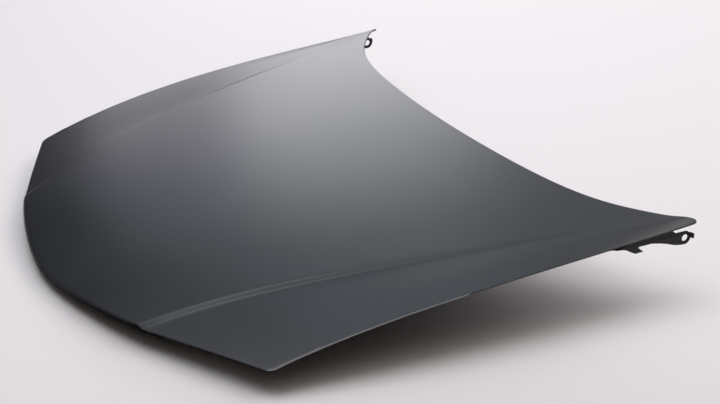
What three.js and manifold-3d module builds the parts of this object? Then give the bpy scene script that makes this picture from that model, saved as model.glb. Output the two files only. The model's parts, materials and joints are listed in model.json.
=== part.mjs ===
// Car bonnet: pressed outer skin hemmed round a pressed inner frame, with reinforcements,
// striker and the two hinge arms. Millimetres, +Z up, nose towards -Y, the car's left side at +X.
// Places are first given from the line through the two front corners, at the height of the skin there.
import * as THREE from 'three';
import { mergeVertices } from 'three/addons/utils/BufferGeometryUtils.js';
import Module from 'manifold-3d';

const wasm = await Module();
wasm.setup();

// Plan of the skin
const frontHalfWidth = 691;
const rearHalfWidth = 745;
const sideLength = 1035;
const sideFlare = 2.56;
const noseReach = 238;
const noseRoundness = 1.65;
const lampReach = 157;
const swageFront = 377;
const swageRearInset = 35;
const swageBow = 22;
const rearCentre = 816;
const rearSweep = 98;
const rearTipSharpness = 6.9;
const frontCornerCut = 14;
const rearTipCut = 14;

// Heights of the skin
const sideRise = 125;
const sideStraightness = 0.48;
const swageHeight = -6;
const swageRise = 141;
const swageStraightness = 0.47;
const noseHeight = -24;
const centreRise = 167;
const centreStraightness = 0.45;
const crownRoundness = 2.2;
const stepHeight = 10;
const stepWidth = 15;
const stepFadeStart = 0.2;
const stepFadeEnd = 0.95;
const flankBulge = 2.5;

// Sheets, hem and lip
const skinThickness = 0.8;
const innerThickness = 0.7;
const clearance = 0.3;
const hemGap = 0.9;
const hemReturn = 9;
const flangeSettle = 0.4;
const lipRadius = 8;
const noseTurn = 65;
const lampTurn = 25;
const edgeTurn = 8;
const noseLip = 5.5;
const lampLip = 2;
const edgeLip = 1.2;
const hemSlack = 0.7;

// Inner frame
const frameFlange = 14;
const frameWall = 12;
const frameDepth = 14;
const frameBridge = 60;
const frontFrameCut = 36;
const rearFrameCut = 130;
const windowDepth = 4.5;
const windowFlange = 14;
const windowWall = 12;
const windowCorner = 28;
const windowWidth = 126;
const centreRib = 96;
const sideRib = 88;
const windowLean = [0, 4, 5];
const crossRib = 92;
const frontRowLength = 250;
const frontRowStart = 22;
const rearRowLength = 300;
const noseWindow = { x: 150, width: 180, front: 104, length: 52, corner: 18 };

// Striker seat and striker
const strikerY = -150;
const strikerSeat = [150, 50];
const strikerSeatHeight = -24;
const strikerWall = 16;
const strikerPlateSize = [104, 40];
const strikerPlateThickness = 2.5;
const strikerWire = 8;
const strikerLoopWidth = 40;
const strikerBend = 11;
const strikerBottom = -60;
const strikerBoltSpacing = 76;

// Hinge seat and hinge arm, placed from the rear tip of the skin
const hingeSeatInset = 57;
const hingeSeatFromTip = 189;
const hingeSeat = [40, 116];
const hingeSeatHeight = 99.5;
const hingeWall = 5;
const hingeBoltSpacing = 74;
const armThickness = 3;
const armInset = 4;
const armFlangeLength = 112;
const armJoggle = 4;
const armJoggleRun = 18;
const armFrontCut = 30;
const armTopGap = 6;
const pivotFromTip = 34;
const pivotHeight = 91;
const pivotHoleDiameter = 17;
const lugRadius = 16;
const tabReach = 8;

// Buffer seats on the frame, where the bonnet rests on the car when shut
const bufferInset = 121;
const bufferSetback = 24;
const bufferSeatRadius = 20;
const bufferSeatHeight = 2;

// Drain holes on the frame's ribs
const drainHole = 16;
const drainHoles = [[0, 318], [228, 336], [456, 370]];

// Fasteners and plates
const plateThickness = 2;
const boltDiameter = 8;
const boltLength = 18;
const boltHeadAcross = 13;
const boltHeadHeight = 5.5;
const boltFlangeDiameter = 17;
const nutAcross = 13;
const nutHeight = 6.5;
const boltHole = 9;
const beadWidth = 9;
const beadLength = 90;
const beadHeight = 2.4;

// Mesh fineness
const domeColumns = 7;
const flankColumns = 3;
const cornerColumns = 2;
const sideRows = 15;
const roundSides = 12;
const floorEdge = 85;

const { lerp, smoothstep, degToRad } = THREE.MathUtils;

const hingeSeatCentre = [rearHalfWidth - hingeSeatInset, sideLength - hingeSeatFromTip];
const hingeBoltYs = [-1, 1].map((end) => hingeSeatCentre[1] + end * hingeBoltSpacing / 2);
const armPlaneX = rearHalfWidth - armInset;
const pivotY = sideLength - pivotFromTip;

// The skin is a height over plan: a crowned centre between two swage lines, a step down outside them
// that fades to the rear, and a flank that falls to the side edge.
function easedRise(share, straightness, sharpness) {
  return straightness * share + (1 - straightness) * (1 - (1 - share) ** sharpness);
}

function halfWidth(y) {
  const ahead = Math.max(1 - y / sideLength, 0);
  return frontHalfWidth + (rearHalfWidth - frontHalfWidth) * (1 - ahead ** sideFlare);
}

function sideHeight(y) {
  return sideRise * easedRise(y / sideLength, sideStraightness, 4);
}

function swageShare(y) {
  return (y + lampReach) / (sideLength + lampReach);
}

function swageX(y) {
  const share = swageShare(y);
  const bow = swageBow * Math.sin(Math.PI * THREE.MathUtils.clamp(share, 0, 1));
  return lerp(swageFront, rearHalfWidth - swageRearInset, share) + bow;
}

function swageZ(y) {
  return swageHeight + swageRise * easedRise(swageShare(y), swageStraightness, 5);
}

function centreZ(y) {
  const share = (y + noseReach) / (rearCentre + noseReach);
  return noseHeight + centreRise * easedRise(Math.min(share, 1.3), centreStraightness, 5);
}

function stepDown(y) {
  return stepHeight * (1 - smoothstep(swageShare(y), stepFadeStart, stepFadeEnd));
}

function skinHeight(x, y) {
  const across = Math.abs(x);
  const crease = swageX(y);
  if (across <= crease) {
    return centreZ(y) - (centreZ(y) - swageZ(y)) * (across / crease) ** crownRoundness;
  }
  const foot = swageZ(y) - stepDown(y);
  if (across <= crease + stepWidth) {
    return lerp(swageZ(y), foot, (across - crease) / stepWidth);
  }
  const share = (across - crease - stepWidth) / (halfWidth(y) - crease - stepWidth);
  return lerp(foot, sideHeight(y), share) + flankBulge * 4 * share * (1 - share);
}

// The frame runs under the step in one smooth slope, always below the skin.
function frameHeight(x, y) {
  const across = Math.abs(x);
  const bridgeStart = swageX(y) - frameBridge;
  const bridgeEnd = swageX(y) + stepWidth;
  if (across <= bridgeStart || across >= bridgeEnd) return skinHeight(x, y);
  const share = (across - bridgeStart) / (bridgeEnd - bridgeStart);
  return lerp(skinHeight(bridgeStart, y), skinHeight(bridgeEnd, y), share);
}

function skinPoint(plan) {
  return new THREE.Vector3(plan.x, plan.y, skinHeight(plan.x, plan.y));
}

function skinNormal(plan) {
  const slopeX = (skinHeight(plan.x + 1, plan.y) - skinHeight(plan.x - 1, plan.y)) / 2;
  const slopeY = (skinHeight(plan.x, plan.y + 1) - skinHeight(plan.x, plan.y - 1)) / 2;
  return new THREE.Vector3(-slopeX, -slopeY, 1).normalize();
}

// Plan outline of the right half: nose and lamp edge, side edge, rear edge.
function frontEdge(x) {
  if (x <= swageFront) {
    return -noseReach + (noseReach - lampReach) * (x / swageFront) ** noseRoundness;
  }
  return -lampReach * (frontHalfWidth - x) / (frontHalfWidth - swageFront);
}

function rearEdge(x) {
  const share = x / rearHalfWidth;
  const tipSweep = sideLength - rearCentre - rearSweep;
  return rearCentre + rearSweep * share ** 2 + tipSweep * share ** rearTipSharpness;
}

function swageEnd() {
  let y = sideLength;
  for (let pass = 0; pass < 20; pass++) y = rearEdge(swageX(y));
  return swageX(y);
}

function roundCorner(before, corner, after, steps) {
  const curve = new THREE.QuadraticBezierCurve(before, corner, after);
  return curve.getPoints(steps);
}

function stations(from, to, count) {
  return Array.from({ length: count }, (_, k) => lerp(from, to, (k + 1) / (count + 1)));
}

// The half outline as three runs that share their end points, with both corners cut round.
function halfOutline(frontCut, rearCut, cornerSteps) {
  const frontCorner = new THREE.Vector2(frontHalfWidth, 0);
  const rearTip = new THREE.Vector2(rearHalfWidth, sideLength);
  const lampDirection = new THREE.Vector2(frontHalfWidth - swageFront, lampReach).normalize();
  const rearStep = rearCut * Math.SQRT1_2;
  const onLamp = frontCorner.clone().addScaledVector(lampDirection, -frontCut);
  const onSide = new THREE.Vector2(halfWidth(frontCut), frontCut);
  const beforeTip = new THREE.Vector2(halfWidth(sideLength - rearCut), sideLength - rearCut);
  const onRear = new THREE.Vector2(rearHalfWidth - rearStep, rearEdge(rearHalfWidth - rearStep));
  const frontArc = roundCorner(onLamp, frontCorner, onSide, 2 * cornerSteps);
  const rearArc = roundCorner(beforeTip, rearTip, onRear, 2 * cornerSteps);
  const creaseEnd = swageEnd();
  const dome = stations(0, 1, domeColumns - 1);
  const columnXs = (crease, last) => [
    0, ...dome.map((share) => share * crease), crease,
    crease + stepWidth, ...stations(crease + stepWidth, last, flankColumns),
  ];
  const reach = rearHalfWidth - rearTipCut * Math.SQRT1_2;
  const frontXs = columnXs(swageFront, frontHalfWidth - frontCornerCut * lampDirection.x);
  const rearXs = columnXs(creaseEnd, reach);
  const sideYs = [frontFrameCut, ...stations(frontFrameCut, sideLength, sideRows - 2)];
  const front = frontXs.filter((x) => x < onLamp.x - 0.1).map((x) => new THREE.Vector2(x, frontEdge(x)));
  const side = sideYs
    .filter((y) => y > frontCut + 1 && y < sideLength - rearCut - 1)
    .map((y) => new THREE.Vector2(halfWidth(y), y));
  const rear = rearXs.filter((x) => x < onRear.x - 0.1).map((x) => new THREE.Vector2(x, rearEdge(x)));
  return {
    front: [...front, ...frontArc.slice(0, cornerSteps + 1)],
    side: [...frontArc.slice(cornerSteps), ...side, ...rearArc.slice(0, cornerSteps + 1)],
    rear: [...rear, ...rearArc.slice(cornerSteps).reverse()],
  };
}

function mirrored(plan) {
  return new THREE.Vector2(-plan.x, plan.y);
}

// The whole outline, anticlockwise from above, from the left front corner round by the nose.
function wholeLoop({ front, side, rear }) {
  const rightHalf = [...front.slice(1), ...side.slice(1), ...rear.slice(0, -1).reverse()];
  const leftHalf = rightHalf.slice(0, -1).reverse().map(mirrored);
  return [front[0], ...rightHalf, ...leftHalf];
}

// Every inner edge a-b of a set of triangles, with the triangle on each side and its far corner.
function facePairs(faces) {
  const sides = new Map();
  faces.forEach(([a, b, c], face) => {
    sides.set(`${a},${b}`, { face, top: c });
    sides.set(`${b},${c}`, { face, top: a });
    sides.set(`${c},${a}`, { face, top: b });
  });
  const pairs = [];
  for (const [edge, { face, top }] of sides) {
    const [a, b] = edge.split(',').map(Number);
    const other = sides.get(`${b},${a}`);
    if (a < b && other) {
      pairs.push({ a, b, left: face, leftTop: top, right: other.face, rightTop: other.top });
    }
  }
  return pairs;
}

// Sheet metal: a surface of points and triangles, given a thickness on its under side.
class Sheet {
  constructor() {
    this.points = [];
    this.triangles = [];
  }

  addRing(points) {
    const first = this.points.length;
    this.points.push(...points);
    return points.map((_, k) => first + k);
  }

  // Joins two closed rings of equal count; the outer one lies outside the inner one.
  joinRings(outer, inner) {
    outer.forEach((a, k) => {
      const next = (k + 1) % outer.length;
      this.triangles.push([a, outer[next], inner[next]], [a, inner[next], inner[k]]);
    });
  }

  // The same for a sheet folded back under itself, so both layers have their diagonals in line.
  joinReturn(outer, inner) {
    outer.forEach((a, k) => {
      const next = (k + 1) % outer.length;
      this.triangles.push([a, outer[next], inner[k]], [outer[next], inner[next], inner[k]]);
    });
  }

  // Fills the area inside one ring and outside its holes.
  fill(ring, holes = []) {
    const plan = (ids) => ids.map((id) => new THREE.Vector2(this.points[id].x, this.points[id].y));
    const ids = [...ring, ...holes.flat()];
    const faces = THREE.ShapeUtils.triangulateShape(plan(ring), holes.map(plan));
    this.triangles.push(...faces.map((face) => face.map((corner) => ids[corner])));
  }

  // Fills an area with even triangles: long inner edges are split, with each new point set by place.
  fillEvenly(ring, holes, longest, place) {
    const first = this.triangles.length;
    this.fill(ring, holes);
    let faces = this.triangles.splice(first);
    const span = (a, b) => this.points[a].distanceTo(this.points[b]);
    for (let pass = 0; pass < 12; pass++) {
      faces = this.flipped(faces);
      const pairs = facePairs(faces).filter(({ a, b }) => span(a, b) > longest);
      pairs.sort((one, other) => span(other.a, other.b) - span(one.a, one.b));
      const taken = new Set();
      const added = [];
      for (const { a, b, left, right, leftTop, rightTop } of pairs) {
        if (taken.has(left) || taken.has(right)) continue;
        taken.add(left).add(right);
        const middle = this.points[a].clone().lerp(this.points[b], 0.5);
        const [m] = this.addRing([place(new THREE.Vector2(middle.x, middle.y))]);
        added.push([a, m, leftTop], [m, b, leftTop], [b, m, rightTop], [m, a, rightTop]);
      }
      faces = [...faces.filter((_, k) => !taken.has(k)), ...added];
      if (added.length === 0) break;
    }
    this.triangles.push(...faces);
  }

  // Turns the shared edge of each slim pair, until no pair has a rounder form.
  flipped(faces) {
    const result = faces.map((face) => [...face]);
    const plan = (id) => new THREE.Vector2(this.points[id].x, this.points[id].y);
    const cornerAngle = (top, a, b) => {
      const toA = plan(a).sub(plan(top)).normalize();
      const toB = plan(b).sub(plan(top)).normalize();
      return Math.acos(THREE.MathUtils.clamp(toA.dot(toB), -1, 1));
    };
    for (let pass = 0; pass < 30; pass++) {
      const taken = new Set();
      for (const { a, b, left, right, leftTop, rightTop } of facePairs(result)) {
        if (taken.has(left) || taken.has(right)) continue;
        if (cornerAngle(leftTop, a, b) + cornerAngle(rightTop, a, b) < Math.PI + 1e-6) continue;
        taken.add(left).add(right);
        result[left] = [leftTop, a, rightTop];
        result[right] = [rightTop, b, leftTop];
      }
      if (taken.size === 0) break;
    }
    return result;
  }

  thickened(thickness) {
    const surface = new THREE.BufferGeometry().setFromPoints(this.points);
    surface.setIndex(this.triangles.flat());
    surface.computeVertexNormals();
    const normals = surface.getAttribute('normal');
    const under = this.points.map((point, id) => (
      point.clone().addScaledVector(new THREE.Vector3().fromBufferAttribute(normals, id), -thickness)
    ));
    const count = this.points.length;
    const edges = new Set(this.triangles.flatMap(([a, b, c]) => [`${a},${b}`, `${b},${c}`, `${c},${a}`]));
    const openEdges = [...edges].map((edge) => edge.split(',').map(Number))
      .filter(([a, b]) => !edges.has(`${b},${a}`));
    const faces = [
      ...this.triangles,
      ...this.triangles.map(([a, b, c]) => [c + count, b + count, a + count]),
      ...openEdges.flatMap(([a, b]) => [[b, a, a + count], [b, a + count, b + count]]),
    ];
    const solid = new THREE.BufferGeometry().setFromPoints([...this.points, ...under]);
    solid.setIndex(faces.flat());
    return solid;
  }
}

// Each point of the outline with the directions out of the panel and off its face.
function edgeFrames(loop) {
  const points = loop.map(skinPoint);
  return points.map((point, k) => {
    const after = points[(k + 1) % points.length];
    const before = points[(k + points.length - 1) % points.length];
    const normal = skinNormal(loop[k]);
    const outward = after.clone().sub(before).cross(normal).normalize();
    return { point, normal, outward };
  });
}

function atEdge({ point, normal, outward }, out, up) {
  return point.clone().addScaledVector(outward, out).addScaledVector(normal, up);
}

// How far the edge turns down, in radians, and the straight lip below the turn.
function edgeLipShape({ point }) {
  const x = Math.abs(point.x);
  const ahead = 1 - smoothstep(point.y, 0, 60);
  const atNose = 1 - smoothstep(x, swageFront - 20, swageFront + 60);
  const front = point.y < sideLength / 2 ? ahead : 0;
  const turn = lerp(edgeTurn, lerp(lampTurn, noseTurn, atNose), front);
  const lip = lerp(edgeLip, lerp(lampLip, noseLip, atNose), front);
  return { turn: degToRad(turn), lip };
}

// A place on the turned edge: a share of the turn, a length of lip, at a depth under the skin.
function lipPlace(frame, turnShare, lipShare, depth) {
  const { turn, lip } = edgeLipShape(frame);
  const angle = turn * turnShare;
  const radius = lipRadius - depth;
  const out = radius * Math.sin(angle) + lip * lipShare * Math.cos(turn);
  const up = -lipRadius + radius * Math.cos(angle) - lip * lipShare * Math.sin(turn);
  return atEdge(frame, out, up);
}

const returnDepth = 2 * skinThickness + clearance + innerThickness + hemGap;

// A place on the hem's fold, by its angle round from the lip's end.
function foldPlace(frame, foldAngle) {
  const { turn } = edgeLipShape(frame);
  const along = returnDepth / 2 * Math.sin(foldAngle);
  const across = returnDepth / 2 * (1 - Math.cos(foldAngle));
  return lipPlace(frame, 1, 1, 0)
    .addScaledVector(frame.outward, along * Math.cos(turn) - across * Math.sin(turn))
    .addScaledVector(frame.normal, -along * Math.sin(turn) - across * Math.cos(turn));
}

function tipCloseness(point) {
  const tip = new THREE.Vector2(rearHalfWidth, sideLength);
  return 1 - smoothstep(tip.distanceTo(new THREE.Vector2(Math.abs(point.x), point.y)), 25, 170);
}

function frontCornerCloseness(point) {
  const corner = new THREE.Vector2(frontHalfWidth, 0);
  return 1 - smoothstep(corner.distanceTo(new THREE.Vector2(Math.abs(point.x), point.y)), 25, 60);
}

// Outer skin: the grid follows the swage lines, so the step keeps its crisp edges.
function planBetween(front, rear, left, right, across, along) {
  const lengthwise = front.clone().lerp(rear, along);
  const sideways = left.clone().lerp(right, across);
  return { lengthwise, sideways };
}

function outerPanel() {
  const outline = halfOutline(frontCornerCut, rearTipCut, cornerColumns);
  const rows = outline.side.length;
  const columns = outline.front.length;
  const creaseColumn = domeColumns;
  const sheet = new Sheet();
  const ids = [];
  const rowYs = outline.side.map((plan) => plan.y);
  const shareOf = (row) => (rowYs[row] - rowYs[0]) / (rowYs[rows - 1] - rowYs[0]);
  const creaseAt = (row, extra) => {
    const from = frontEdge(swageFront);
    const y = lerp(from, rearEdge(swageEnd()), shareOf(row));
    return new THREE.Vector2(swageX(y) + extra, extra > 0 ? lerp(
      frontEdge(swageFront + extra), rearEdge(swageEnd() + extra), shareOf(row),
    ) : y);
  };
  const patch = (column, row, firstColumn, lastColumn, innerLine, outerLine) => {
    const across = (column - firstColumn) / (lastColumn - firstColumn);
    const along = shareOf(row);
    const corners = [outline.front[firstColumn], outline.front[lastColumn],
      outline.rear[firstColumn], outline.rear[lastColumn]];
    const run = planBetween(outline.front[column], outline.rear[column],
      innerLine(row), outerLine(row), across, along);
    const flat = corners[0].clone().lerp(corners[1], across)
      .lerp(corners[2].clone().lerp(corners[3], across), along);
    return run.lengthwise.add(run.sideways).sub(flat);
  };
  const middle = (row) => new THREE.Vector2(0, lerp(outline.front[0].y, outline.rear[0].y, shareOf(row)));
  const planAt = (column, row) => {
    if (row === 0) return outline.front[column];
    if (row === rows - 1) return outline.rear[column];
    if (column === columns - 1) return outline.side[row];
    if (column <= creaseColumn) {
      return patch(column, row, 0, creaseColumn, middle, (at) => creaseAt(at, 0));
    }
    if (column === creaseColumn + 1) return creaseAt(row, stepWidth);
    return patch(column, row, creaseColumn + 1, columns - 1,
      (at) => creaseAt(at, stepWidth), (at) => outline.side[at]);
  };
  for (let row = 0; row < rows; row++) {
    const half = Array.from({ length: columns }, (_, column) => planAt(column, row));
    const whole = [...half.slice(1).reverse().map(mirrored), ...half];
    ids.push(sheet.addRing(whole.map(skinPoint)));
  }
  const across = 2 * columns - 1;
  for (let row = 0; row < rows - 1; row++) {
    for (let column = 0; column < across - 1; column++) {
      const [a, b] = [ids[row][column], ids[row][column + 1]];
      const [d, c] = [ids[row + 1][column], ids[row + 1][column + 1]];
      const leftHalf = column < columns - 1;
      if (leftHalf) sheet.triangles.push([a, b, d], [b, c, d]);
      else sheet.triangles.push([a, b, c], [a, c, d]);
    }
  }
  const frontIds = ids[0].slice(columns - 1);
  const rightIds = ids.slice(1).map((row) => row[across - 1]);
  const rearIds = ids[rows - 1].slice(0, -1).reverse();
  const leftIds = ids.slice(1, rows - 1).map((row) => row[0]).reverse();
  const frontLeftIds = ids[0].slice(0, columns - 1);
  const edge = [...frontIds, ...rightIds, ...rearIds, ...leftIds, ...frontLeftIds];
  const frames = edgeFrames(edge.map((id) => new THREE.Vector2(sheet.points[id].x, sheet.points[id].y)));
  const hemTail = (frame) => {
    const { turn, lip } = edgeLipShape(frame);
    const tail = Math.max(hemReturn - lip - turn * (lipRadius - returnDepth), 1.5);
    return tail * lerp(1, 0.25, tipCloseness(frame.point));
  };
  const turned = [
    edge,
    sheet.addRing(frames.map((frame) => lipPlace(frame, 0.5, 0, 0))),
    sheet.addRing(frames.map((frame) => lipPlace(frame, 1, 0, 0))),
    sheet.addRing(frames.map((frame) => lipPlace(frame, 1, 1, 0))),
    sheet.addRing(frames.map((frame) => foldPlace(frame, Math.PI / 2))),
    sheet.addRing(frames.map((frame) => lipPlace(frame, 1, 1, returnDepth))),
  ];
  const returned = [
    turned[turned.length - 1],
    sheet.addRing(frames.map((frame) => lipPlace(frame, 1, 0, returnDepth))),
    sheet.addRing(frames.map((frame) => lipPlace(frame, 0, 0, returnDepth))),
    sheet.addRing(frames.map((frame) => atEdge(frame, -hemTail(frame), -returnDepth))),
  ];
  for (let k = 1; k < turned.length; k++) sheet.joinRings(turned[k], turned[k - 1]);
  for (let k = 1; k < returned.length; k++) sheet.joinReturn(returned[k], returned[k - 1]);
  return sheet.thickened(skinThickness);
}

// A closed plan contour with round corners, its sides divided, with outward normals for offsets.
function roundedContour(corners, radius, cornerSteps, sideStep) {
  const contour = [];
  corners.forEach((corner, k) => {
    const before = corners[(k + corners.length - 1) % corners.length];
    const after = corners[(k + 1) % corners.length];
    const inDirection = corner.clone().sub(before).normalize();
    const outDirection = after.clone().sub(corner).normalize();
    const turn = Math.acos(inDirection.dot(outDirection));
    const cut = radius * Math.tan(turn / 2);
    const leftNormal = new THREE.Vector2(-inDirection.y, inDirection.x);
    const start = corner.clone().addScaledVector(inDirection, -cut);
    const centre = start.clone().addScaledVector(leftNormal, radius);
    for (let step = 0; step <= cornerSteps; step++) {
      const normal = leftNormal.clone().negate()
        .rotateAround(new THREE.Vector2(), turn * step / cornerSteps);
      contour.push({ at: centre.clone().addScaledVector(normal, radius), normal });
    }
    const next = contour[contour.length - 1];
    const nextTurn = Math.acos(THREE.MathUtils.clamp(
      outDirection.dot(corners[(k + 2) % corners.length].clone().sub(after).normalize()), -1, 1,
    ));
    const end = after.clone().addScaledVector(outDirection, -radius * Math.tan(nextTurn / 2));
    const pieces = Math.max(1, Math.round(next.at.distanceTo(end) / sideStep));
    for (let piece = 1; piece < pieces; piece++) {
      contour.push({ at: next.at.clone().lerp(end, piece / pieces), normal: next.normal });
    }
  });
  return contour;
}

function offsetContour(contour, distance) {
  return contour.map(({ at, normal }) => at.clone().addScaledVector(normal, distance));
}

function circle(x, y, radius, sides) {
  return Array.from({ length: sides }, (_, k) => {
    const angle = 2 * Math.PI * k / sides;
    return new THREE.Vector2(x + radius * Math.cos(angle), y + radius * Math.sin(angle));
  });
}

function rectangle(x, y, width, length) {
  return [[-1, -1], [1, -1], [1, 1], [-1, 1]]
    .map(([right, back]) => new THREE.Vector2(x + right * width / 2, y + back * length / 2));
}

function underSkin(plan, depth) {
  return skinPoint(plan).addScaledVector(skinNormal(plan), -depth);
}

function framePoint(plan, depth) {
  return new THREE.Vector3(plan.x, plan.y, frameHeight(plan.x, plan.y) - depth / skinNormal(plan).z);
}

// The windows of one side: three columns that fan out to the rear, in two rows.
function windowCorners(column, row) {
  const pitch = windowWidth + sideRib;
  const lean = Math.tan(degToRad(windowLean[column]));
  const startY = frontRowStart + 34 * column;
  const front = row === 0 ? startY : startY + frontRowLength + crossRib;
  const rear = front + (row === 0 ? frontRowLength : rearRowLength);
  const inner = (y) => centreRib / 2 + column * pitch + lean * (y - startY);
  return [
    new THREE.Vector2(inner(front), front),
    new THREE.Vector2(inner(front) + windowWidth, front),
    new THREE.Vector2(inner(rear) + windowWidth, rear),
    new THREE.Vector2(inner(rear), rear),
  ];
}

// A low window on each side of the striker, along the nose.
function noseWindowContour(side) {
  const { x, width, front, length, corner } = noseWindow;
  const skew = frontEdge(x + width) - frontEdge(x);
  const corners = [[x, -front], [x + width, -front + skew], [x + width, -front + skew + length],
    [x, -front + length]].map(([across, along]) => new THREE.Vector2(across, along));
  return roundedContour(side > 0 ? corners : corners.map(mirrored).reverse(), corner, 3, 80);
}

const windows = [];
for (const side of [1, -1]) {
  for (let column = 0; column < 3; column++) {
    for (let row = 0; row < 2; row++) {
      const corners = windowCorners(column, row);
      const seen = side > 0 ? corners : corners.map(mirrored).reverse();
      windows.push({ side, column, row, corners, contour: roundedContour(seen, windowCorner, 3, 80) });
    }
  }
}

// Inner frame: flange in the hem, wall down to the channel floor, windows with flanges near the skin,
// and flat seats for the striker, the hinges and the car's rubber buffers.
function innerPanel() {
  const outline = halfOutline(frontFrameCut, rearFrameCut, 3);
  const frames = edgeFrames(wholeLoop(outline));
  const sheet = new Sheet();
  const flangeDepth = skinThickness + clearance;
  const shareAt = (frame) => lerp(1, 0.42, tipCloseness(frame.point));
  const lipAt = (frame) => 1 - Math.max(frontCornerCloseness(frame.point), tipCloseness(frame.point));
  const lipEnd = (frame) => lipAt(frame) * (1 - hemSlack / edgeLipShape(frame).lip);
  const depthAt = (frame) => lerp(flangeDepth, frameDepth, shareAt(frame));
  const inward = (frame, distance) => {
    const point = atEdge(frame, -distance * shareAt(frame), 0);
    const overStep = Math.abs(frame.point.x) - swageX(frame.point.y);
    if (overStep < -1 || overStep > stepWidth + 1) return new THREE.Vector2(point.x, point.y);
    return new THREE.Vector2(Math.sign(point.x) * (swageX(point.y) + overStep), point.y);
  };
  const rings = [
    sheet.addRing(frames.map((frame) => lipPlace(frame, lipAt(frame), lipEnd(frame), flangeDepth))),
    sheet.addRing(frames.map((frame) => lipPlace(frame, lipAt(frame), 0, flangeDepth))),
    sheet.addRing(frames.map((frame) => lipPlace(frame, 0, 0, flangeDepth))),
    sheet.addRing(frames.map((frame) => (
      underSkin(inward(frame, frameFlange), flangeDepth + flangeSettle)
    ))),
    sheet.addRing(frames.map((frame) => (
      framePoint(inward(frame, frameFlange + frameWall), depthAt(frame))
    ))),
  ];
  for (let k = 1; k < rings.length; k++) sheet.joinRings(rings[k - 1], rings[k]);
  const floorHoles = [];
  const openings = [...windows.map(({ contour }) => contour), noseWindowContour(1), noseWindowContour(-1)];
  for (const contour of openings) {
    const foot = offsetContour(contour, windowFlange + windowWall);
    const head = offsetContour(contour, windowFlange);
    const outer = sheet.addRing(foot.map((plan) => framePoint(plan, frameDepth)));
    const upper = sheet.addRing(head.map((plan) => framePoint(plan, windowDepth)));
    const rim = sheet.addRing(contour.map(({ at }) => framePoint(at, windowDepth)));
    sheet.joinRings(outer, upper);
    sheet.joinRings(upper, rim);
    floorHoles.push(outer);
  }
  const addSeat = (contour, wall, height, holes) => {
    const foot = offsetContour(contour, wall);
    const outer = sheet.addRing(foot.map((plan) => framePoint(plan, frameDepth)));
    const level = (plan) => new THREE.Vector3(plan.x, plan.y, height + innerThickness);
    const flat = sheet.addRing(contour.map(({ at }) => level(at)));
    sheet.joinRings(outer, flat);
    sheet.fill(flat, holes.map((hole) => sheet.addRing(hole.map(level))));
    floorHoles.push(outer);
  };
  const strikerContour = roundedContour(rectangle(0, strikerY, ...strikerSeat), 12, 3, 60);
  const strikerHoles = [-1, 1].map((side) => circle(side * strikerBoltSpacing / 2, strikerY, boltHole / 2, 8));
  addSeat(strikerContour, strikerWall, strikerSeatHeight, strikerHoles);
  for (const side of [-1, 1]) {
    const x = side * hingeSeatCentre[0];
    const contour = roundedContour(rectangle(x, hingeSeatCentre[1], ...hingeSeat), 8, 2, 60);
    const holes = hingeBoltYs.map((y) => circle(x, y, boltHole / 2, 8));
    addSeat(contour, hingeWall, hingeSeatHeight, holes);
    const bufferCentre = new THREE.Vector2(side * (frontHalfWidth - bufferInset), bufferSetback);
    const buffer = circle(bufferCentre.x, bufferCentre.y, bufferSeatRadius, roundSides).map((at) => ({
      at, normal: at.clone().sub(bufferCentre).normalize(),
    }));
    addSeat(buffer, hingeWall, bufferSeatHeight, []);
  }
  const floorPoint = (plan) => framePoint(plan, frameDepth);
  for (const [across, along] of drainHoles) {
    for (const x of across === 0 ? [0] : [-across, across]) {
      floorHoles.push(sheet.addRing(circle(x, along, drainHole / 2, 8).map(floorPoint)));
    }
  }
  sheet.fillEvenly(rings[rings.length - 1], floorHoles, floorEdge, floorPoint);
  return sheet.thickened(innerThickness);
}

// Closed solids for joining and cutting.
function toSolid(geometry) {
  const plain = geometry.clone();
  plain.deleteAttribute('normal');
  plain.deleteAttribute('uv');
  const merged = mergeVertices(plain, 1e-4);
  return new wasm.Manifold(new wasm.Mesh({
    numProp: 3,
    vertProperties: new Float32Array(merged.getAttribute('position').array),
    triVerts: new Uint32Array(merged.getIndex().array),
  }));
}

function toGeometry(solid) {
  const { vertProperties, triVerts } = solid.getMesh();
  const geometry = new THREE.BufferGeometry();
  geometry.setAttribute('position', new THREE.BufferAttribute(new Float32Array(vertProperties), 3));
  geometry.setIndex(new THREE.BufferAttribute(new Uint32Array(triVerts), 1));
  return geometry;
}

function cutFrom(body, ...tools) {
  return toGeometry(tools.reduce((rest, tool) => rest.subtract(toSolid(tool)), toSolid(body)));
}

function upright(diameter, from, to, x, y, sides = roundSides) {
  const geometry = new THREE.CylinderGeometry(diameter / 2, diameter / 2, to - from, sides);
  return geometry.rotateX(Math.PI / 2).translate(x, y, (from + to) / 2);
}

function plate(contour, from, to) {
  const shape = new THREE.Shape(contour);
  return new THREE.ExtrudeGeometry(shape, { depth: to - from, bevelEnabled: false }).translate(0, 0, from);
}

function drilledPlate(contour, from, to, holes) {
  return cutFrom(plate(contour, from, to), ...holes.map(([x, y, diameter]) => (
    upright(diameter, from - 1, to + 1, x, y)
  )));
}

function hexagon(acrossFlats, x, y) {
  return circle(x, y, acrossFlats / Math.sqrt(3), 6);
}

// Flanged hexagon bolt from below, its head under the given height.
function bolt(x, y, headTop) {
  const washer = upright(boltFlangeDiameter, headTop - 1.2, headTop, x, y);
  const head = plate(hexagon(boltHeadAcross, x, y), headTop - boltHeadHeight, headTop - 0.6);
  const shank = upright(boltDiameter, headTop - 0.6, headTop + boltLength, x, y);
  return toGeometry(toSolid(washer).add(toSolid(head)).add(toSolid(shank)));
}

function weldNut(x, y, seat) {
  const bore = upright(boltDiameter + 2 * clearance, seat - 1, seat + nutHeight + 1, x, y);
  return cutFrom(plate(hexagon(nutAcross, x, y), seat, seat + nutHeight), bore);
}

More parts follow.
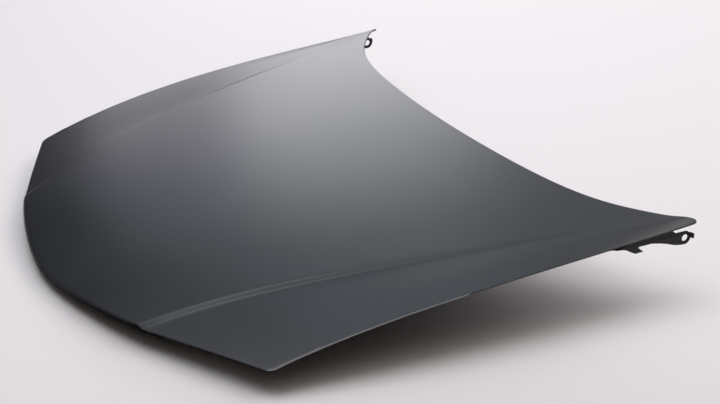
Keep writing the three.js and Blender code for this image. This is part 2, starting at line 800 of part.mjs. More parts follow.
// Hinge arm of the +X side: a web with the pivot lug, a hooked tab below, a tab bent outboard behind
// the lug, and a joggled flange turned inboard that carries the bolts.
function armWeb() {
  const bottom = hingeSeatHeight - clearance - armThickness + armJoggle;
  const front = pivotY - 181;
  const under = (back) => sideHeight(pivotY + back) - armTopGap;
  const at = (back, up) => [pivotY + back, pivotHeight + up];
  const shape = new THREE.Shape();
  shape.moveTo(front, bottom + armThickness);
  shape.lineTo(front, bottom);
  shape.quadraticCurveTo(front + 20, bottom - 0.5, ...at(-151, 0));
  shape.lineTo(...at(-134, -9));
  shape.lineTo(...at(-113, -8));
  shape.lineTo(...at(-127, 4));
  shape.quadraticCurveTo(...at(-128, 6), ...at(-120, 6));
  shape.lineTo(...at(-92, 6));
  shape.quadraticCurveTo(...at(-62, 1), ...at(-36, -9));
  shape.quadraticCurveTo(...at(-20, -15), ...at(0, -lugRadius));
  shape.absarc(pivotY, pivotHeight, lugRadius, -Math.PI / 2, Math.PI / 2, false);
  shape.lineTo(...at(-25, lugRadius));
  shape.lineTo(pivotY - 35, under(-35));
  shape.lineTo(pivotY - 90, under(-90));
  shape.lineTo(pivotY - 145, under(-145));
  shape.quadraticCurveTo(pivotY - 160, under(-160), front + 8, bottom + armThickness);
  const hole = new THREE.Path();
  hole.absarc(pivotY, pivotHeight, pivotHoleDiameter / 2, 0, 2 * Math.PI, true);
  shape.holes.push(hole);
  const settings = { depth: armThickness, bevelEnabled: false, curveSegments: 6 };
  return alongX(new THREE.ExtrudeGeometry(shape, settings), armPlaneX - armThickness / 2);
}

// Turns a shape drawn in Y and Z, with its depth along X, into place.
function alongX(geometry, start) {
  const axes = new THREE.Matrix4().makeBasis(
    new THREE.Vector3(0, 1, 0), new THREE.Vector3(0, 0, 1), new THREE.Vector3(1, 0, 0),
  );
  return geometry.applyMatrix4(axes).translate(start, 0, 0);
}

function armFlange() {
  const inner = hingeSeatCentre[0] - hingeSeat[0] / 2 + 2;
  const outer = armPlaneX + armThickness / 2;
  const top = hingeSeatHeight - clearance;
  const bend = outer - armThickness - armJoggleRun - 3;
  const profile = [[inner, 0], [inner, -armThickness], [bend, -armThickness],
    [bend + armJoggleRun, armJoggle - armThickness], [outer, armJoggle - armThickness], [outer, armJoggle],
    [bend + armJoggleRun, armJoggle], [bend, 0]].map(([x, z]) => new THREE.Vector2(x, top + z));
  const length = new THREE.ExtrudeGeometry(new THREE.Shape(profile), {
    depth: armFlangeLength, bevelEnabled: false,
  }).rotateX(Math.PI / 2).translate(0, hingeSeatCentre[1] + armFlangeLength / 2, 0);
  const front = hingeSeatCentre[1] - armFlangeLength / 2;
  const corner = [[outer - 24, front - 1], [outer + 1, front - 1], [outer + 1, front + armFrontCut]]
    .map(([x, y]) => new THREE.Vector2(x, y));
  const holes = hingeBoltYs.map((y) => (
    upright(boltHole, top - armThickness - 1, top + 1, hingeSeatCentre[0], y)
  ));
  return cutFrom(length, plate(corner, top - armThickness - 1, top + armJoggle + 1), ...holes);
}

function armTab() {
  const outside = armPlaneX + armThickness / 2;
  const inside = outside - armThickness;
  const edge = pivotY + lugRadius;
  const contour = [[inside, edge - 7], [outside, edge - 7], [outside, edge - 2], [outside + tabReach, edge + 1],
    [outside + tabReach - 1, edge + 4], [inside, edge + 1]].map(([x, y]) => new THREE.Vector2(x, y));
  return plate(contour, pivotHeight - 2, pivotHeight + 9.5);
}

function hingeArm(side) {
  const solid = toSolid(armWeb()).add(toSolid(armFlange())).add(toSolid(armTab()));
  const geometry = toGeometry(solid);
  return side > 0 ? geometry : mirroredGeometry(geometry);
}

// The same piece for the other side of the car, with its faces turned back outwards.
function mirroredGeometry(geometry) {
  const other = geometry.clone().scale(-1, 1, 1);
  const index = Array.from(other.getIndex().array);
  for (let k = 0; k < index.length; k += 3) [index[k], index[k + 1]] = [index[k + 1], index[k]];
  other.setIndex(index);
  return other;
}

// Striker: a bent wire loop that passes through its base plate.
function strikerLoop() {
  const half = (strikerLoopWidth - strikerWire) / 2;
  const low = strikerBottom + strikerWire / 2;
  const top = strikerSeatHeight - clearance - 0.2;
  const at = (x, z) => new THREE.Vector3(x, strikerY, z);
  const path = new THREE.CurvePath();
  path.add(new THREE.LineCurve3(at(-half, top), at(-half, low + strikerBend)));
  path.add(new THREE.QuadraticBezierCurve3(
    at(-half, low + strikerBend), at(-half, low), at(-half + strikerBend, low),
  ));
  path.add(new THREE.LineCurve3(at(-half + strikerBend, low), at(half - strikerBend, low)));
  path.add(new THREE.QuadraticBezierCurve3(
    at(half - strikerBend, low), at(half, low), at(half, low + strikerBend),
  ));
  path.add(new THREE.LineCurve3(at(half, low + strikerBend), at(half, top)));
  const section = new THREE.Shape(circle(0, 0, strikerWire / 2, 10));
  return new THREE.ExtrudeGeometry(section, { steps: 20, extrudePath: path, bevelEnabled: false });
}

function strikerPlate() {
  const top = strikerSeatHeight - clearance;
  const contour = roundedContour(rectangle(0, strikerY, ...strikerPlateSize), 8, 3, 500)
    .map(({ at }) => at);
  const legX = (strikerLoopWidth - strikerWire) / 2;
  const holes = [-1, 1].flatMap((side) => [
    [side * strikerBoltSpacing / 2, strikerY, boltHole],
    [side * legX, strikerY, strikerWire + 2 * clearance],
  ]);
  return drilledPlate(contour, top - strikerPlateThickness, top, holes);
}

function seatPlate(x, y, width, length, seatHeight, holes) {
  const bottom = seatHeight + innerThickness + clearance;
  const contour = roundedContour(rectangle(x, y, width, length), 6, 2, 500).map(({ at }) => at);
  return drilledPlate(contour, bottom, bottom + plateThickness, holes);
}

// Anti-flutter mastic: a bead on a window's inboard flange, just under the skin.
function masticBead({ side, corners }) {
  const front = corners[0];
  const rear = corners[3];
  const run = rear.clone().sub(front).normalize();
  const across = new THREE.Vector2(run.y, -run.x);
  const middle = front.clone().lerp(rear, 0.5).addScaledVector(across, -windowFlange / 2);
  const steps = 3;
  const sheet = new Sheet();
  const lines = [-1, 1].map((edge) => Array.from({ length: steps + 1 }, (_, k) => {
    const along = beadLength * (k / steps - 0.5);
    const plan = middle.clone().addScaledVector(run, along).addScaledVector(across, edge * beadWidth / 2);
    return framePoint(side > 0 ? plan : mirrored(plan), windowDepth - clearance - beadHeight);
  }));
  const [inner, outer] = (side > 0 ? lines : lines.reverse()).map((line) => sheet.addRing(line));
  for (let k = 0; k < steps; k++) {
    sheet.triangles.push([inner[k], outer[k], outer[k + 1]], [inner[k], outer[k + 1], inner[k + 1]]);
  }
  return sheet.thickened(beadHeight);
}

const primer = { color: 0x3a3d41, roughness: 0.55, metalness: 0.1 };
const bareZinc = { color: 0xb9bcbf, roughness: 0.4, metalness: 0.9 };
const mastic = { color: 0x2b2b2c, roughness: 0.9, metalness: 0 };

const bonnet = new THREE.Group();

function addPiece(name, geometry, finish) {
  const piece = new THREE.Mesh(geometry, new THREE.MeshStandardMaterial(finish));
  piece.name = name;
  bonnet.add(piece);
}

addPiece('outer_panel', outerPanel(), primer);
addPiece('inner_panel', innerPanel(), primer);

for (const [sideName, side] of [['left', 1], ['right', -1]]) {
  const x = side * hingeSeatCentre[0];
  const holes = hingeBoltYs.map((y) => [x, y, boltHole]);
  const [width, length] = hingeSeat;
  addPiece(`hinge_reinforcement_${sideName}`,
    seatPlate(x, hingeSeatCentre[1], width - 6, length - 6, hingeSeatHeight, holes), primer);
  addPiece(`hinge_arm_${sideName}`, hingeArm(side), primer);
  const nutSeat = hingeSeatHeight + innerThickness + plateThickness + 2 * clearance;
  const headTop = hingeSeatHeight - armThickness - 2 * clearance;
  [['front', 0], ['rear', 1]].forEach(([endName, end]) => {
    addPiece(`hinge_weld_nut_${sideName}_${endName}`, weldNut(x, hingeBoltYs[end], nutSeat), bareZinc);
    addPiece(`hinge_bolt_${sideName}_${endName}`, bolt(x, hingeBoltYs[end], headTop), bareZinc);
  });
}

const strikerHoleList = [-1, 1].map((side) => [side * strikerBoltSpacing / 2, strikerY, boltHole]);
addPiece('striker_reinforcement', seatPlate(0, strikerY, strikerSeat[0] - 8, strikerSeat[1] - 8,
  strikerSeatHeight, strikerHoleList), primer);
addPiece('striker_plate', strikerPlate(), bareZinc);
addPiece('striker_loop', strikerLoop(), bareZinc);
for (const [sideName, side] of [['left', 1], ['right', -1]]) {
  const x = side * strikerBoltSpacing / 2;
  const nutSeat = strikerSeatHeight + innerThickness + plateThickness + 2 * clearance;
  const headTop = strikerSeatHeight - strikerPlateThickness - 2 * clearance;
  addPiece(`striker_weld_nut_${sideName}`, weldNut(x, strikerY, nutSeat), bareZinc);
  addPiece(`striker_bolt_${sideName}`, bolt(x, strikerY, headTop), bareZinc);
}

windows.forEach((opening) => {
  const sideName = opening.side > 0 ? 'left' : 'right';
  addPiece(`mastic_bead_${sideName}_${opening.column + 1}_${opening.row + 1}`, masticBead(opening), mastic);
});

// The origin is under the middle of the whole bonnet, at its lowest point.
const bounds = new THREE.Box3().setFromObject(bonnet);
const centre = bounds.getCenter(new THREE.Vector3());
bonnet.position.set(-centre.x, -centre.y, -bounds.min.z);

export default bonnet;
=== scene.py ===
import json
import math

import bmesh
import bpy
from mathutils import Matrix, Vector

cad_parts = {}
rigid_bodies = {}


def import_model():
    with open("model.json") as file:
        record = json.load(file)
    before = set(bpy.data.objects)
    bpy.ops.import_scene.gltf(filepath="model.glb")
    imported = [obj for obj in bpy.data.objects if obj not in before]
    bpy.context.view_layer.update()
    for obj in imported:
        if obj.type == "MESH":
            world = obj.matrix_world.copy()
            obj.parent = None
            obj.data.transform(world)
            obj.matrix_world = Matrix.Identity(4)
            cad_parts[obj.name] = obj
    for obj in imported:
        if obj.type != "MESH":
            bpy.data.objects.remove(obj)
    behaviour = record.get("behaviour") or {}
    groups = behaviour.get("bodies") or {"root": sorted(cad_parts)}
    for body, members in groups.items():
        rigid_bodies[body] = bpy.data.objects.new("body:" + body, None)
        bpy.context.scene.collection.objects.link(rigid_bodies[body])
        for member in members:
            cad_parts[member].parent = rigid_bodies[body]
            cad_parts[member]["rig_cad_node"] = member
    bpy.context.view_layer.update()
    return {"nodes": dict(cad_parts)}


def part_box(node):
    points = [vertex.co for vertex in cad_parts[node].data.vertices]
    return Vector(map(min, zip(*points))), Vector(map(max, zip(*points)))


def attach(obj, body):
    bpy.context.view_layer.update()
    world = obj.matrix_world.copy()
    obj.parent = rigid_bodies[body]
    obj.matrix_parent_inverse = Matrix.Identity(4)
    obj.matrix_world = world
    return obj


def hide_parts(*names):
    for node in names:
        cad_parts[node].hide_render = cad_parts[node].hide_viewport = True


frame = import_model()

# Camera: the bonnet lies nose to the left, seen from above its long side with a long lens.
CAMERA_PLACE = (3.4898, -1.68326, 1.83)
CAMERA_DIP = 24.441
CAMERA_HEADING = 61.827
CAMERA_LENS = 87.5

bpy.ops.object.select_all(action="DESELECT")
bpy.ops.object.camera_add(
    location=CAMERA_PLACE,
    rotation=(math.radians(90 - CAMERA_DIP), 0, math.radians(CAMERA_HEADING)),
)
camera = bpy.context.object
camera.data.lens = CAMERA_LENS
camera.data.sensor_width = 36
camera.data.clip_end = 60
bpy.context.scene.camera = camera

# Outer skin: one deep-drawn steel pressing, 0.8 mm thick, folded round the inner frame as a hem.
# It is dipped in black primer, a satin film with a faint peel. A light grey primer along the fold of
# the left hem is a painted highlight, a light line, and a near-black dull primer round the rolled nose
# lip is painted shade.
PRIMER_LOW = (0.016, 0.020, 0.025)
PRIMER_HIGH = (0.021, 0.026, 0.032)
SWAGE_RADIUS = 0.003
SWAGE_REACH = 0.72
LIP_BACK = -0.3
HIGHLIGHT_FRONT = -0.4
HIGHLIGHT_REAR = 0.05


def dipped_primer(name, low, high, peel):
    """Electro-dipped primer: two close tones in a cloud, a faint peel and a slight change of sheen."""
    primer = bpy.data.materials.new(name)
    primer.use_nodes = True
    nodes = primer.node_tree.nodes
    links = primer.node_tree.links
    shader = nodes["Principled BSDF"]
    shader.inputs["Specular IOR Level"].default_value = 0.5
    place = nodes.new("ShaderNodeTexCoord")
    cloud = nodes.new("ShaderNodeTexNoise")
    cloud.inputs["Scale"].default_value = 3.2
    cloud.inputs["Detail"].default_value = 5
    cloud.inputs["Roughness"].default_value = 0.6
    tone = nodes.new("ShaderNodeValToRGB")
    tone.color_ramp.elements[0].position = 0.35
    tone.color_ramp.elements[0].color = (*low, 1)
    tone.color_ramp.elements[1].position = 0.68
    tone.color_ramp.elements[1].color = (*high, 1)
    sheen = nodes.new("ShaderNodeMapRange")
    sheen.inputs["To Min"].default_value = 0.32
    sheen.inputs["To Max"].default_value = 0.38
    grain = nodes.new("ShaderNodeTexNoise")
    grain.inputs["Scale"].default_value = 420
    grain.inputs["Detail"].default_value = 2
    bump = nodes.new("ShaderNodeBump")
    bump.inputs["Strength"].default_value = peel
    bump.inputs["Distance"].default_value = 0.0002
    links.new(place.outputs["Object"], cloud.inputs["Vector"])
    links.new(place.outputs["Object"], grain.inputs["Vector"])
    links.new(cloud.outputs["Fac"], tone.inputs["Fac"])
    links.new(cloud.outputs["Fac"], sheen.inputs["Value"])
    links.new(tone.outputs["Color"], shader.inputs["Base Color"])
    links.new(sheen.outputs["Result"], shader.inputs["Roughness"])
    links.new(grain.outputs["Fac"], bump.inputs["Height"])
    links.new(bump.outputs["Normal"], shader.inputs["Normal"])
    return primer


def merged_copy(node, name):
    """A copy of a modelled solid with its loose triangles merged, ready for shaping."""
    bpy.ops.object.select_all(action="DESELECT")
    source = frame["nodes"][node]
    source.select_set(True)
    bpy.context.view_layer.objects.active = source
    bpy.ops.object.duplicate()
    piece = bpy.context.object
    piece.name = name
    del piece["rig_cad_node"]
    piece.data.materials.clear()
    bpy.ops.object.mode_set(mode="EDIT")
    bpy.ops.mesh.select_all(action="SELECT")
    bpy.ops.mesh.remove_doubles(threshold=1e-6)
    bpy.ops.object.mode_set(mode="OBJECT")
    return piece


def turned_smooth(piece, levels):
    """Round a copy of a pressing off by subdivision, with its real folds kept crisp in the shading."""
    rounding = piece.modifiers.new("rounded", "SUBSURF")
    rounding.levels = levels
    rounding.render_levels = levels
    bpy.context.view_layer.objects.active = piece
    bpy.ops.object.modifier_apply(modifier="rounded")
    bpy.ops.object.shade_smooth_by_angle(angle=math.radians(40))


skin_primer = dipped_primer("skin_primer", PRIMER_LOW, PRIMER_HIGH, 0.05)
# Painted highlight: a light grey primer that paints the light line along the front of the left hem's
# fold.
highlight_fold_primer = dipped_primer("highlight_fold_primer", (0.300, 0.310, 0.320), (0.380, 0.390, 0.400), 0.05)
# Painted shade: a near-black primer with almost no reflection that paints the shade on the rolled nose
# lip.
shade_lip_primer = dipped_primer("shade_lip_primer", (0.003, 0.003, 0.003), (0.005, 0.005, 0.005), 0.1)
shade_lip_primer.node_tree.nodes["Principled BSDF"].inputs["Specular IOR Level"].default_value = 0.03

# The swage's crest and foot are rounded on both faces of the sheet, then the whole skin is smoothed.
outer_skin = merged_copy("outer_panel", "outer_skin")
bpy.ops.object.mode_set(mode="EDIT")
bpy.ops.mesh.tris_convert_to_quads(face_threshold=math.radians(70), shape_threshold=math.radians(100))
bpy.ops.mesh.select_mode(type="EDGE")
bpy.ops.mesh.select_all(action="DESELECT")
swage_mesh = bmesh.from_edit_mesh(outer_skin.data)
for edge in swage_mesh.edges:
    if len(edge.link_faces) != 2:
        continue
    run = edge.verts[1].co - edge.verts[0].co
    bend = math.degrees(edge.calc_face_angle())
    level = min(abs(face.normal.z) for face in edge.link_faces)
    lengthwise = abs(run.y) > 0.8 * run.length and abs(edge.verts[0].co.x) < SWAGE_REACH
    if lengthwise and bend > 5 and level > 0.6:
        edge.select = True
bmesh.update_edit_mesh(outer_skin.data)
bpy.ops.mesh.bevel(offset=SWAGE_RADIUS, segments=2, affect="EDGES")
bpy.ops.object.mode_set(mode="OBJECT")
turned_smooth(outer_skin, 2)
for primer in (skin_primer, highlight_fold_primer, shade_lip_primer):
    outer_skin.data.materials.append(primer)
# The nose lip's faces get the painted shade, and the front of the left hem's fold gets the painted
# highlight.
for face in outer_skin.data.polygons:
    on_lip = face.center.y < LIP_BACK and face.normal.y < -0.3 and face.normal.z < 0.45
    on_fold = face.center.x > 0.6 and face.normal.x > 0.45 and -0.3 < face.normal.z < 0.8
    if on_lip:
        face.material_index = 2
    elif on_fold and HIGHLIGHT_FRONT < face.center.y < HIGHLIGHT_REAR:
        face.material_index = 1
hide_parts("outer_panel")
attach(outer_skin, "root")

# Inner frame: a thinner pressing of 0.7 mm with ribs, windows and drain holes, under the whole skin.
# It is clamped in the skin's hem and dipped with it, so it carries the same primer with more peel.
inner_frame = merged_copy("inner_panel", "inner_frame")
bpy.ops.object.mode_set(mode="EDIT")
bpy.ops.mesh.tris_convert_to_quads(face_threshold=math.radians(40), shape_threshold=math.radians(60))
bpy.ops.object.mode_set(mode="OBJECT")
turned_smooth(inner_frame, 1)
frame_primer = dipped_primer("frame_primer", PRIMER_LOW, PRIMER_HIGH, 0.12)
inner_frame.data.materials.append(frame_primer)
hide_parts("inner_panel")
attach(inner_frame, "root")

# Hinge arms: 3 mm plate, blanked and bent, with a pivot lug, a hooked tab and a bent tab behind.
# Their edges are broken by tumbling, and they are dipped on their own in a darker, duller coat.
ARM_EDGE = 0.0007


def broken_edges(piece, width, segments):
    """Break the sharp edges of a copied solid as blanking and tumbling leave them."""
    bpy.context.view_layer.objects.active = piece
    bpy.ops.object.mode_set(mode="EDIT")
    bpy.ops.mesh.select_all(action="SELECT")
    bpy.ops.mesh.dissolve_limited(angle_limit=math.radians(0.5))
    bpy.ops.object.mode_set(mode="OBJECT")
    edges = piece.modifiers.new("edges", "BEVEL")
    edges.width = width
    edges.segments = segments
    edges.limit_method = "ANGLE"
    edges.angle_limit = math.radians(38)
    edges.use_clamp_overlap = True
    bpy.ops.object.modifier_apply(modifier="edges")
    bpy.ops.object.shade_smooth_by_angle(angle=math.radians(28))


def plain_coat(name, low, high, roughness, scale, depth):
    """A thin coat over steel: two close tones in a fine cloud, with a matching change of sheen."""
    coat = bpy.data.materials.new(name)
    coat.use_nodes = True
    nodes = coat.node_tree.nodes
    links = coat.node_tree.links
    shader = nodes["Principled BSDF"]
    place = nodes.new("ShaderNodeTexCoord")
    cloud = nodes.new("ShaderNodeTexNoise")
    cloud.inputs["Scale"].default_value = scale
    cloud.inputs["Detail"].default_value = 6
    tone = nodes.new("ShaderNodeValToRGB")
    tone.color_ramp.elements[0].position = 0.38
    tone.color_ramp.elements[0].color = (*low, 1)
    tone.color_ramp.elements[1].position = 0.66
    tone.color_ramp.elements[1].color = (*high, 1)
    sheen = nodes.new("ShaderNodeMapRange")
    sheen.inputs["To Min"].default_value = roughness[0]
    sheen.inputs["To Max"].default_value = roughness[1]
    bump = nodes.new("ShaderNodeBump")
    bump.inputs["Strength"].default_value = 0.25
    bump.inputs["Distance"].default_value = depth
    links.new(place.outputs["Object"], cloud.inputs["Vector"])
    links.new(cloud.outputs["Fac"], tone.inputs["Fac"])
    links.new(cloud.outputs["Fac"], sheen.inputs["Value"])
    links.new(cloud.outputs["Fac"], bump.inputs["Height"])
    links.new(tone.outputs["Color"], shader.inputs["Base Color"])
    links.new(sheen.outputs["Result"], shader.inputs["Roughness"])
    links.new(bump.outputs["Normal"], shader.inputs["Normal"])
    return coat


arm_coat = plain_coat(
    "arm_coat", low=(0.006, 0.006, 0.007), high=(0.011, 0.011, 0.012),
    roughness=(0.42, 0.6), scale=160, depth=0.0001,
)
arm_coat.node_tree.nodes["Principled BSDF"].inputs["Specular IOR Level"].default_value = 0.3
for side in ("left", "right"):
    arm = merged_copy("hinge_arm_" + side, "arm_" + side)
    broken_edges(arm, ARM_EDGE, 2)
    arm.data.materials.append(arm_coat)
    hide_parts("hinge_arm_" + side)
    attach(arm, "root")

# Reinforcements: 2 mm plates spot-welded inside the frame behind the hinge arms and the striker.
# They are welded before the dip, so they carry the frame's primer.
PLATE_EDGE = 0.0005
for node in ("hinge_reinforcement_left", "hinge_reinforcement_right", "striker_reinforcement"):
    plate = merged_copy(node, node + "_plate")
    broken_edges(plate, PLATE_EDGE, 2)
    plate.data.materials.append(frame_primer)
    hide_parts(node)
    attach(plate, "root")

# Striker: a stamped base and a bent 8 mm wire loop welded to it, both zinc-plated, under the nose.
# The car's latch grips the loop.
zinc_plate = plain_coat(
    "zinc_plate", low=(0.52, 0.53, 0.52), high=(0.68, 0.69, 0.67),
    roughness=(0.28, 0.46), scale=240, depth=0.00008,
)
zinc_plate.node_tree.nodes["Principled BSDF"].inputs["Metallic"].default_value = 1
striker_base = merged_copy("striker_plate", "striker_base")
broken_edges(striker_base, PLATE_EDGE, 2)
striker_wire = merged_copy("striker_loop", "striker_wire")
turned_smooth(striker_wire, 2)
for piece, node in ((striker_base, "striker_plate"), (striker_wire, "striker_loop")):
    piece.data.materials.append(zinc_plate)
    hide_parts(node)
    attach(piece, "root")

# Flange bolts M8: a dished hexagon head with a pressed flange and a rolled thread, zinc-plated steel.
# They go in from below. Two hold each hinge arm and two hold the striker base.
BOLT_ACROSS = 0.013
BOLT_HEAD = 0.0055
HEAD_EASE = 0.00002
HEAD_EDGE = 0.0006
HEAD_RIM = 0.0018
HEAD_DISH = 0.0007
BOLT_FLANGE = 0.0085
FLANGE_SLOPE = 0.0012
FLANGE_THICK = 0.001
FLANGE_CONE = 0.0011
FLANGE_RIM = 0.0006
SHANK_RADIUS = 0.004
SHANK_NECK = 0.002
SHANK_SUNK = 0.0001
BOLT_LENGTH = 0.0235
THREAD_ROOT = 0.0034
THREAD_CREST = 0.0039
THREAD_PITCH = 0.00125
TIP_LENGTH = 0.0008
TIP_TAPER = 0.78

bpy.ops.object.select_all(action="DESELECT")
first_low, first_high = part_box("striker_bolt_left")
bolt_x = (first_low[0] + first_high[0]) / 2
bolt_y = (first_low[1] + first_high[1]) / 2
head_end = first_low[2]
bpy.ops.mesh.primitive_cylinder_add(
    vertices=6, radius=BOLT_ACROSS / math.sqrt(3) - HEAD_EASE, depth=BOLT_HEAD - FLANGE_THICK,
    location=(bolt_x, bolt_y, head_end + (BOLT_HEAD - FLANGE_THICK) / 2),
)
first_bolt = bpy.context.object
bpy.ops.object.mode_set(mode="EDIT")
bpy.ops.mesh.select_mode(type="FACE")
bpy.ops.mesh.select_all(action="SELECT")
bpy.ops.mesh.bevel(offset=HEAD_EDGE, segments=2, affect="EDGES")
bpy.ops.mesh.select_all(action="DESELECT")
bolt_mesh = bmesh.from_edit_mesh(first_bolt.data)
min(bolt_mesh.faces, key=lambda face: face.calc_center_median().z).select = True
bmesh.update_edit_mesh(first_bolt.data)
bpy.ops.mesh.inset(thickness=HEAD_RIM)
bpy.ops.transform.translate(value=(0, 0, HEAD_DISH))
bpy.ops.mesh.select_all(action="DESELECT")
bpy.ops.mesh.primitive_cone_add(
    vertices=40, radius1=BOLT_FLANGE - FLANGE_SLOPE, radius2=BOLT_FLANGE, depth=FLANGE_CONE,
    location=(bolt_x, bolt_y, head_end + BOLT_HEAD - FLANGE_RIM - FLANGE_CONE / 2),
)
bpy.ops.mesh.primitive_cylinder_add(
    vertices=40, radius=BOLT_FLANGE, depth=FLANGE_RIM,
    location=(bolt_x, bolt_y, head_end + BOLT_HEAD - FLANGE_RIM / 2),
)
bpy.ops.mesh.primitive_cylinder_add(
    vertices=20, radius=SHANK_RADIUS, depth=SHANK_NECK,
    location=(bolt_x, bolt_y, head_end + BOLT_HEAD + SHANK_NECK / 2 - SHANK_SUNK),
)
bpy.ops.mesh.select_all(action="DESELECT")
bolt_mesh = bmesh.from_edit_mesh(first_bolt.data)
max(bolt_mesh.faces, key=lambda face: face.calc_center_median().z).select = True
bmesh.update_edit_mesh(first_bolt.data)
reach = BOLT_HEAD + SHANK_NECK - SHANK_SUNK
rim = SHANK_RADIUS
while reach + THREAD_PITCH < BOLT_LENGTH - TIP_LENGTH:
    for next_rim in (THREAD_ROOT, THREAD_CREST):
        bpy.ops.mesh.extrude_region_move(TRANSFORM_OT_translate={"value": (0, 0, THREAD_PITCH / 2)})
        bpy.ops.transform.resize(value=(next_rim / rim, next_rim / rim, 1))
        rim = next_rim
    reach += THREAD_PITCH
bpy.ops.mesh.extrude_region_move(TRANSFORM_OT_translate={"value": (0, 0, BOLT_LENGTH - reach)})
bpy.ops.transform.resize(value=(TIP_TAPER, TIP_TAPER, 1))
bpy.ops.object.mode_set(mode="OBJECT")
bpy.ops.object.transform_apply(location=True, rotation=True, scale=True)
bpy.ops.object.shade_smooth_by_angle(angle=math.radians(35))
first_bolt.data.materials.append(zinc_plate)

bolt_nodes = ["striker_bolt_left", "striker_bolt_right"]
bolt_nodes += ["hinge_bolt_" + side + end for side in ("left", "right") for end in ("_front", "_rear")]
for node in bolt_nodes:
    bolt = first_bolt
    if node != bolt_nodes[0]:
        bpy.ops.object.select_all(action="DESELECT")
        first_bolt.select_set(True)
        bpy.context.view_layer.objects.active = first_bolt
        bpy.ops.object.duplicate()
        bolt = bpy.context.object
        low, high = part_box(node)
        bpy.ops.transform.translate(value=[there - here for there, here in zip(low, first_low)])
        bpy.ops.object.transform_apply(location=True, rotation=True, scale=True)
    bolt.name = node + "_m8"
    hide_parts(node)
    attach(bolt, "root")

# Weld nuts: hexagon nuts projection-welded to the reinforcements, with a chamfer round both faces.
# They are plated like the bolts.
NUT_EDGE = 0.0006
nut_nodes = ["striker_weld_nut_left", "striker_weld_nut_right"]
nut_nodes += ["hinge_weld_nut_" + side + end for side in ("left", "right") for end in ("_front", "_rear")]
for node in nut_nodes:
    nut = merged_copy(node, node + "_hex")
    broken_edges(nut, NUT_EDGE, 2)
    nut.data.materials.append(zinc_plate)
    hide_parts(node)
    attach(nut, "root")

# Anti-flutter mastic: twelve soft beads laid on the frame's ribs, which stop the skin drumming.
# They are gunned on, so they are rounded, with a dull pitted surface.
mastic_black = plain_coat(
    "mastic_black", low=(0.018, 0.018, 0.018), high=(0.034, 0.033, 0.032),
    roughness=(0.8, 0.95), scale=90, depth=0.0006,
)
for side in ("left", "right"):
    for column in (1, 2, 3):
        for row in (1, 2):
            node = f"mastic_bead_{side}_{column}_{row}"
            bead = merged_copy(node, node + "_gunned")
            turned_smooth(bead, 2)
            bead.data.materials.append(mastic_black)
            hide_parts(node)
            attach(bead, "root")

# Floor: pale matt paper, far wider than the picture.
FLOOR_SIDE = 60

bpy.ops.object.select_all(action="DESELECT")
bpy.ops.mesh.primitive_plane_add(size=FLOOR_SIDE, location=(0, 0, 0))
floor = bpy.context.object
floor.name = "floor"
floor_paint = bpy.data.materials.new("floor_paint")
floor_paint.use_nodes = True
floor_shader = floor_paint.node_tree.nodes["Principled BSDF"]
floor_shader.inputs["Base Color"].default_value = (0.93, 0.91, 0.92, 1)
floor_shader.inputs["Roughness"].default_value = 1
floor_shader.inputs["Specular IOR Level"].default_value = 0.2
floor.data.materials.append(floor_paint)

# Backdrop: a grey round wall far outside the lights, in the tone that the floor has at its foot.
# It neither lights the bonnet nor mirrors in it.
BACKDROP_RADIUS = 28
BACKDROP_HEIGHT = 24
BACKDROP_MIDDLE = 11

bpy.ops.object.select_all(action="DESELECT")
bpy.ops.mesh.primitive_cylinder_add(
    vertices=96, radius=BACKDROP_RADIUS, depth=BACKDROP_HEIGHT,
    end_fill_type="NOTHING", location=(0, 0, BACKDROP_MIDDLE),
)
backdrop = bpy.context.object
backdrop.name = "backdrop"
backdrop_cloth = bpy.data.materials.new("backdrop_cloth")
backdrop_cloth.use_nodes = True
backdrop_shader = backdrop_cloth.node_tree.nodes["Principled BSDF"]
backdrop_shader.inputs["Base Color"].default_value = (0, 0, 0, 1)
backdrop_shader.inputs["Emission Color"].default_value = (0.25, 0.24, 0.245, 1)
backdrop_shader.inputs["Emission Strength"].default_value = 1
backdrop.data.materials.append(backdrop_cloth)
backdrop.visible_diffuse = False
backdrop.visible_glossy = False
backdrop.visible_transmission = False
backdrop.visible_shadow = False

# Air: a trace of warm light from all round, so that no shadow is quite black.
studio = bpy.data.worlds.new("studio")
studio.use_nodes = True
studio_air = studio.node_tree.nodes["Background"]
studio_air.inputs["Color"].default_value = (1, 0.74, 0.52, 1)
studio_air.inputs["Strength"].default_value = 0.05
bpy.context.scene.world = studio

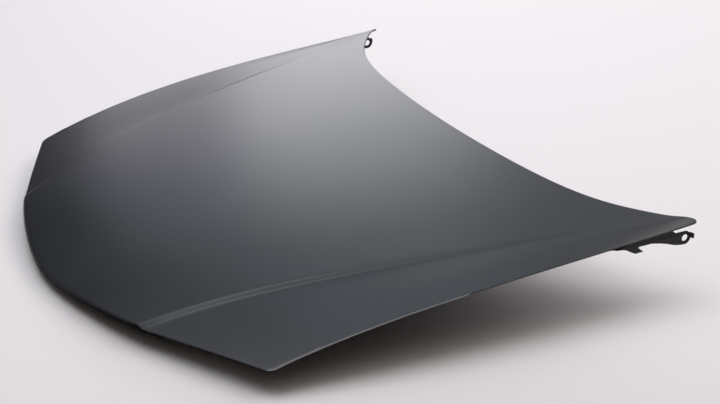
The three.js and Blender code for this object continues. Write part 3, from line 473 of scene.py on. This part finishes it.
# Soft boxes: each one's place, side in metres, power and tint. All face the bonnet.
SOFT_BOXES = (
    ((-5.24, 1.23, 1.24), 1.4, 11.4, (0.97, 0.93, 1.00)),
    ((-4.74, 2.54, 1.24), 1.4, 11.1, (1.00, 0.96, 0.96)),
    ((-4.54, 0.65, 2.54), 1.8, 8.0, (0.77, 0.81, 1.00)),
    ((-3.06, 3.42, 2.54), 1.8, 6.8, (0.84, 0.84, 1.00)),
    ((-1.71, 4.26, 2.54), 1.8, 19.1, (1.00, 0.92, 0.90)),
    ((-0.11, 3.39, 3.49), 2.0, 18.1, (1.00, 0.93, 0.96)),
    ((1.60, 2.99, 3.49), 2.0, 18.9, (1.00, 0.94, 0.88)),
    ((-1.23, -1.57, 4.02), 2.2, 17.4, (0.96, 0.94, 1.00)),
    ((-1.76, 0.94, 4.02), 2.2, 13.4, (0.66, 0.83, 1.00)),
    ((0.62, 1.90, 4.02), 2.2, 19.1, (1.00, 0.95, 0.97)),
    ((-0.34, -0.64, 4.24), 2.2, 34.7, (0.96, 0.97, 1.00)),
    ((-3.31, 1.77, 1.47), 1.3, 18.9, (0.92, 0.94, 1.00)),
    ((0.85, -1.95, 4.00), 1.2, 14.0, (0.90, 0.95, 1.00)),
)
BONNET_MIDDLE = (0, 0, 0.1)
for place, side, power, tint in SOFT_BOXES:
    turn = (Vector(BONNET_MIDDLE) - Vector(place)).to_track_quat("-Z", "Y").to_euler()
    bpy.ops.object.light_add(type="AREA", location=place, rotation=turn)
    soft_box = bpy.context.object
    soft_box.data.shape = "SQUARE"
    soft_box.data.size = side
    soft_box.data.energy = power
    soft_box.data.color = tint

# Wide ceiling banks light the whole floor evenly: their turn, spread in degrees, power and tint.
CEILING_BANKS = (
    ((0.00, 0.00, 0.00), 110, 0.50, (1.00, 1.00, 1.00)),
    ((0.52, 0.00, 2.65), 45, 0.10, (1.00, 0.88, 0.79)),
    ((0.52, 0.00, -2.85), 45, 0.09, (0.98, 0.94, 1.00)),
)
for turn, spread, power, tint in CEILING_BANKS:
    bpy.ops.object.light_add(type="SUN", location=(0, 0, 4), rotation=turn)
    bank = bpy.context.object
    bank.data.angle = math.radians(spread)
    bank.data.energy = power
    bank.data.color = tint

bpy.context.scene.view_settings.view_transform = "Standard"
